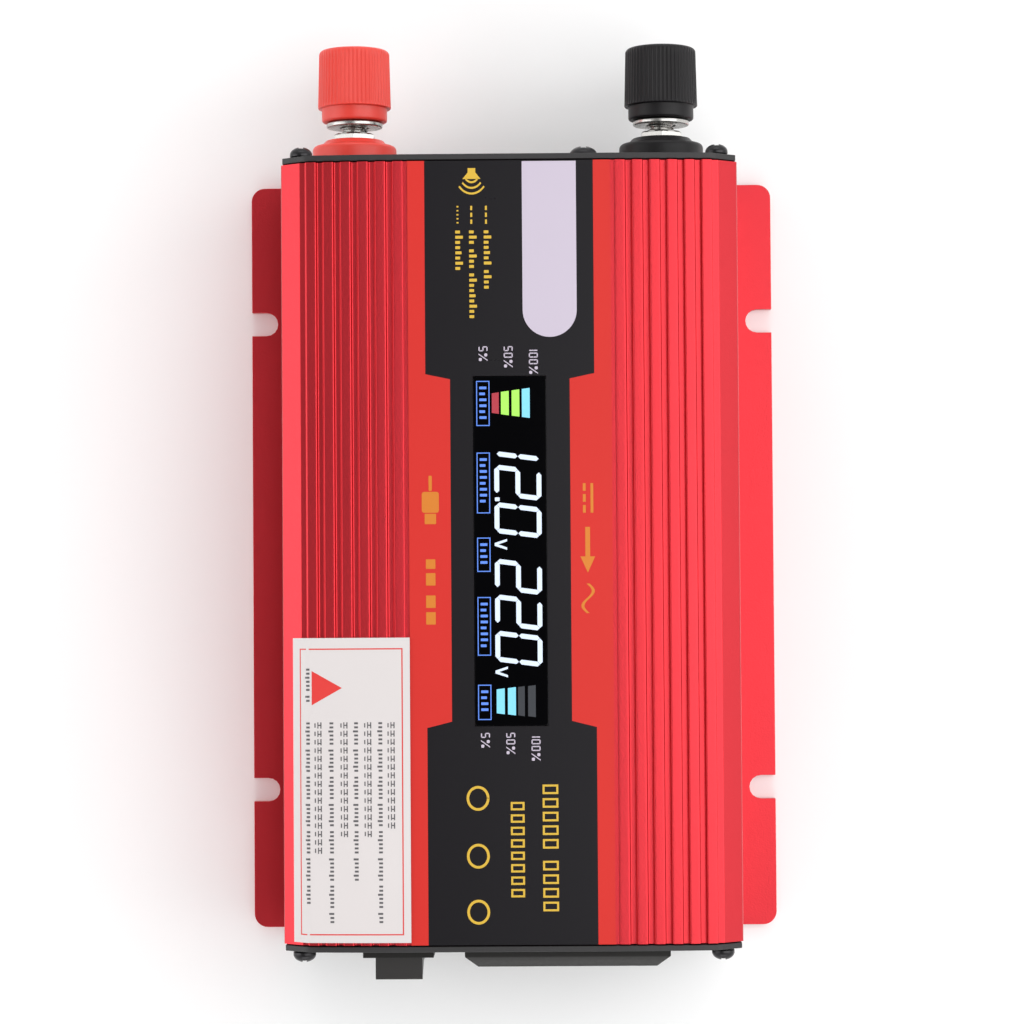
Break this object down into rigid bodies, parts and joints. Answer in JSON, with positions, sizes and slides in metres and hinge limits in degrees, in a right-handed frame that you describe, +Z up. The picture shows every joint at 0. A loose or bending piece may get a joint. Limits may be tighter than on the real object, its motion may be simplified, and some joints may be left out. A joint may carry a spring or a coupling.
{
  "type": "power inverter",
  "caption": "DC to AC power inverter: ribbed aluminium case on a slotted mounting tray, two screw-down binding posts, a fan, a mains outlet and a rocker switch.",
  "frame": {"origin": "centre of the tray's underside, which is the face it stands on", "axes": "+Y runs the length of the case, towards the binding posts; +Z is up, through the face label; the mains outlet and the switch face -Y"},
  "size_m": [0.118, 0.2018, 0.0544],
  "materials": {
    "anodised": "bead-blasted, red anodised",
    "panel": "black powder coat",
    "label": "printed film, satin",
    "sticker": "coated white paper",
    "lens": "polished smoked acrylic",
    "black_plastic": "moulded, satin",
    "red_plastic": "moulded, satin",
    "nickel": "nickel plated",
    "black_screw": "black zinc",
    "brass": "stamped",
    "green_lens": "tinted, polished",
    "red_lens": "tinted, polished",
    "circuit_board": "solder mask",
    "display": "coated glass",
    "ferrite": "sintered, matt",
    "winding": "insulating tape",
    "component": "sleeved"
  },
  "bodies": {
    "case": {"alarm_buzzer": "component", "bottom_tray": "anodised", "bus_capacitor": "component", "display_board": "circuit_board", "display_glass": "display", "display_lens": "lens", "earth_contact": "brass", "face_label": "label", "fan_frame": "black_plastic", "fan_screw_lower": "black_screw", "fan_screw_upper": "black_screw", "fault_indicator": "red_lens", "front_panel": "panel", "info_sticker": "sticker", "input_capacitor_1": "component", "input_capacitor_2": "component", "live_contact": "brass", "main_board": "circuit_board", "negative_back_insulator": "black_plastic", "negative_back_nut": "nickel", "negative_collar_nut": "nickel", "negative_lead": "black_plastic", "negative_post_base": "black_plastic", "negative_stud": "nickel", "neutral_contact": "brass", "output_choke": "winding", "panel_screw_front_left_lower": "black_screw", "panel_screw_front_left_upper": "black_screw", "panel_screw_front_right_lower": "black_screw", "panel_screw_front_right_upper": "black_screw", "panel_screw_rear_left_lower": "black_screw", "panel_screw_rear_left_upper": "black_screw", "panel_screw_rear_right_lower": "black_screw", "panel_screw_rear_right_upper": "black_screw", "positive_back_insulator": "red_plastic", "positive_back_nut": "nickel", "positive_collar_nut": "nickel", "positive_lead": "red_plastic", "positive_post_base": "red_plastic", "positive_stud": "nickel", "power_indicator": "green_lens", "rear_panel": "panel", "socket_housing": "black_plastic", "switch_housing": "black_plastic", "top_cover": "anodised", "transformer_core": "ferrite", "transformer_winding": "winding", "transistor_bank_left": "component", "transistor_bank_right": "component", "usb_board": "circuit_board", "usb_shell": "nickel", "usb_tongue": "component"},
    "rocker": {"switch_rocker": "black_plastic"},
    "impeller": {"fan_impeller": "black_plastic"},
    "positive_washer": {"positive_washer": "nickel"},
    "positive_knob": {"positive_knob": "red_plastic"},
    "negative_washer": {"negative_washer": "nickel"},
    "negative_knob": {"negative_knob": "black_plastic"}
  },
  "joints": [
    {"name": "switch_press", "type": "hinge", "parent": "case", "child": "rocker", "pos_m": [-0.0245, -0.0843, 0.036], "axis": [1, 0, 0], "range_deg": [-22, 0]},
    {"name": "fan_spin", "type": "hinge", "parent": "case", "child": "impeller", "pos_m": [0, 0.0775, 0.027], "axis": [0, 1, 0], "continuous": true},
    {"name": "positive_travel", "type": "slide", "parent": "case", "child": "positive_washer", "axis": [0, 1, 0], "range_m": [-0.0012, 0.0037]},
    {"name": "positive_turn", "type": "hinge", "parent": "positive_washer", "child": "positive_knob", "pos_m": [-0.034, 0.1, 0.027], "axis": [0, 1, 0], "range_deg": [-435, 1335]},
    {"name": "negative_travel", "type": "slide", "parent": "case", "child": "negative_washer", "axis": [0, 1, 0], "range_m": [-0.0012, 0.0037]},
    {"name": "negative_turn", "type": "hinge", "parent": "negative_washer", "child": "negative_knob", "pos_m": [0.0333, 0.1, 0.027], "axis": [0, 1, 0], "range_deg": [-435, 1335]}
  ],
  "couplings": [
    {"joint": "positive_turn", "follows": "positive_travel", "rad_per_m": 6283.2},
    {"joint": "negative_turn", "follows": "negative_travel", "rad_per_m": 6283.2}
  ]
}
